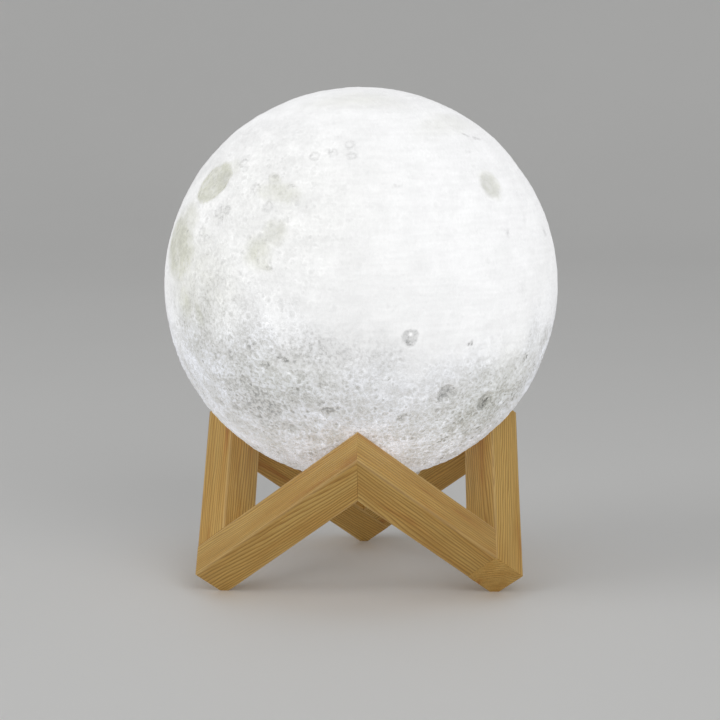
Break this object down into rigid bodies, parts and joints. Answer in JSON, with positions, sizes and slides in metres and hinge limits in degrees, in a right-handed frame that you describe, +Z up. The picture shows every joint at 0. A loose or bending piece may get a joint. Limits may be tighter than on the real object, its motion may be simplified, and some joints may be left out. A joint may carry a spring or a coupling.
{
  "type": "moon lamp",
  "caption": "Table lamp: a printed moon globe, lit from inside, resting loose in a cradle of mitred wooden rails.",
  "frame": {"origin": "on the surface that the stand rests on, under the globe's centre", "axes": "+Z up; -Y is the front, with one pair of rails square to it; +X is to the right seen from the front"},
  "size_m": [0.15, 0.15, 0.1875],
  "materials": {
    "moon_print": "printed shell, matt, fine print lines, glows when lit",
    "pine": "planed pale softwood, light satin",
    "dowel_wood": "plain turned hardwood",
    "white_housing": "moulded, fine texture",
    "button_plastic": "moulded, satin",
    "black_plastic": "moulded, matt",
    "circuit_board": "green solder resist, satin",
    "light_board": "white solder resist on a metal core",
    "chip_black": "moulded chip package",
    "screw_steel": "zinc-plated",
    "contact_metal": "bright",
    "clear_plastic": "clear moulded plug",
    "cell_wrap": "foil pouch",
    "foam": "closed-cell foam",
    "red_lead": "insulation",
    "black_lead": "insulation",
    "white_lead": "insulation",
    "cool_led": "pale phosphor under clear resin",
    "warm_led": "amber phosphor under clear resin",
    "indicator": "small lamp package"
  },
  "bodies": {
    "stand": {"rail_front_left": "pine", "rail_front_right": "pine", "rail_right_front": "pine", "rail_right_back": "pine", "rail_left_back": "pine", "rail_left_front": "pine", "apex_dowels": "dowel_wood", "foot_dowels": "dowel_wood"},
    "globe": {"moon_shell": "moon_print", "light_housing": "white_housing", "housing_lid": "white_housing", "lid_screws": "screw_steel", "control_board": "circuit_board", "board_screws": "screw_steel", "charge_controller": "chip_black", "dimmer_controller": "chip_black", "indicator_led": "indicator", "charge_jack": "black_plastic", "jack_pin": "contact_metal", "switch_body": "black_plastic", "light_pipe": "clear_plastic", "battery_cell": "cell_wrap", "battery_pad": "foam", "battery_lead_red": "red_lead", "battery_lead_black": "black_lead", "led_leads": "white_lead", "led_board": "light_board", "led_board_screws": "screw_steel", "cool_white_leds": "cool_led", "warm_white_leds": "warm_led"},
    "button": {"power_button": "button_plastic", "switch_plunger": "black_plastic"}
  },
  "joints": [
    {"name": "globe_lift", "type": "slide", "parent": "stand", "child": "globe", "axis": [0, 0, 1], "range_m": [0, 0.09]},
    {"name": "power_button_press", "type": "slide", "parent": "globe", "child": "button", "axis": [0, 0, 1], "range_m": [0, 0.0005], "stiffness_N_per_m": 3000}
  ]
}
